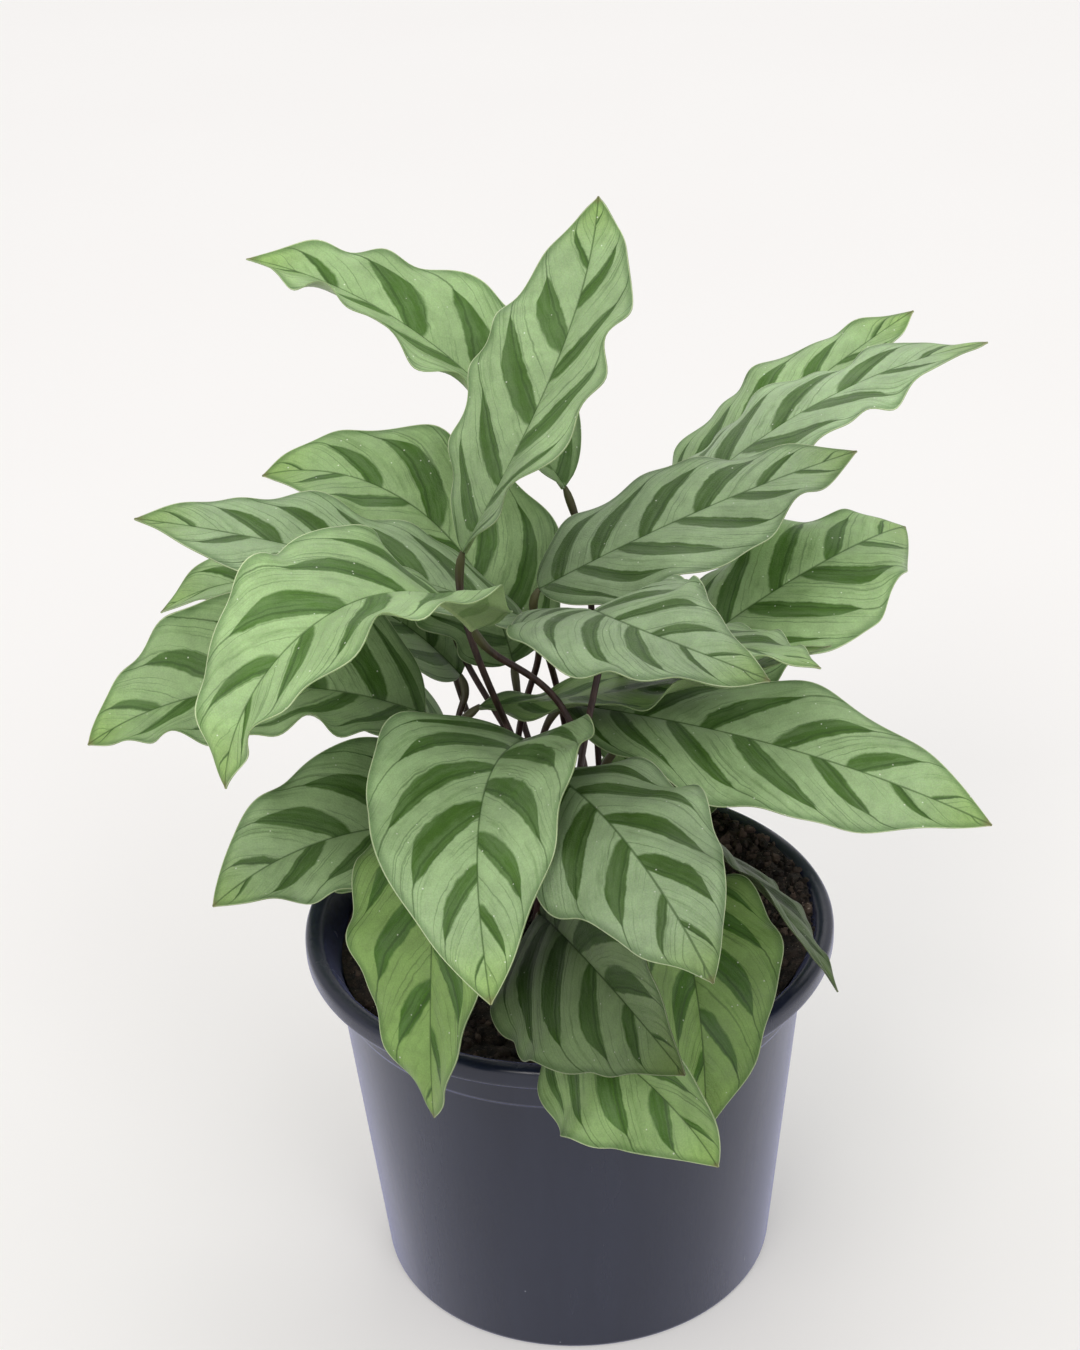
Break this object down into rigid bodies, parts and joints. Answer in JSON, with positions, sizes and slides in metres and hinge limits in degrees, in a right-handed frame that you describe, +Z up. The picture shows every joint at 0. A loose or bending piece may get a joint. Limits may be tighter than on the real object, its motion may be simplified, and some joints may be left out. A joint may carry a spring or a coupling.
{
  "type": "potted calathea",
  "caption": "Bushy calathea with light and dark green banded, wavy leaves on slim dark stalks, growing from soil in a round tapered nursery pot",
  "frame": {"origin": "middle of the pot's foot, on the plane it stands on", "axes": "+Z up along the pot's axis, -Y toward the viewer of the picture, +X to the viewer's right"},
  "size_m": [0.2459, 0.2585, 0.3117],
  "materials": {
    "pot": "satin dark blue-grey moulded plastic",
    "soil": "rough dark peat soil with small lighter bits",
    "stalk": "smooth dark maroon-brown leaf stalk",
    "blade": "soft satin leaf, light green bands and darker green stripes along the side veins, plain green underside"
  },
  "bodies": {
    "root": {"pot": "pot", "soil": "soil", "shoot_1": "stalk", "shoot_2": "stalk", "shoot_3": "stalk", "shoot_4": "stalk", "shoot_5": "stalk", "shoot_6": "stalk", "shoot_7": "stalk", "leaf_01": "blade", "leaf_02": "blade", "leaf_03": "blade", "leaf_04": "blade", "leaf_05": "blade", "leaf_06": "blade", "leaf_07": "blade", "leaf_08": "blade", "leaf_09": "blade", "leaf_10": "blade", "leaf_11": "blade", "leaf_12": "blade", "leaf_13": "blade", "leaf_14": "blade", "leaf_15": "blade", "leaf_16": "blade", "leaf_17": "blade", "leaf_18": "blade", "leaf_19": "blade", "leaf_20": "blade", "leaf_21": "blade", "leaf_22": "blade", "leaf_23": "blade", "leaf_24": "blade", "leaf_25": "blade", "leaf_26": "blade", "leaf_27": "blade", "leaf_28": "blade", "leaf_29": "blade", "leaf_30": "blade", "leaf_31": "blade", "leaf_32": "blade", "leaf_33": "blade", "leaf_34": "blade"}
  },
  "joints": []
}
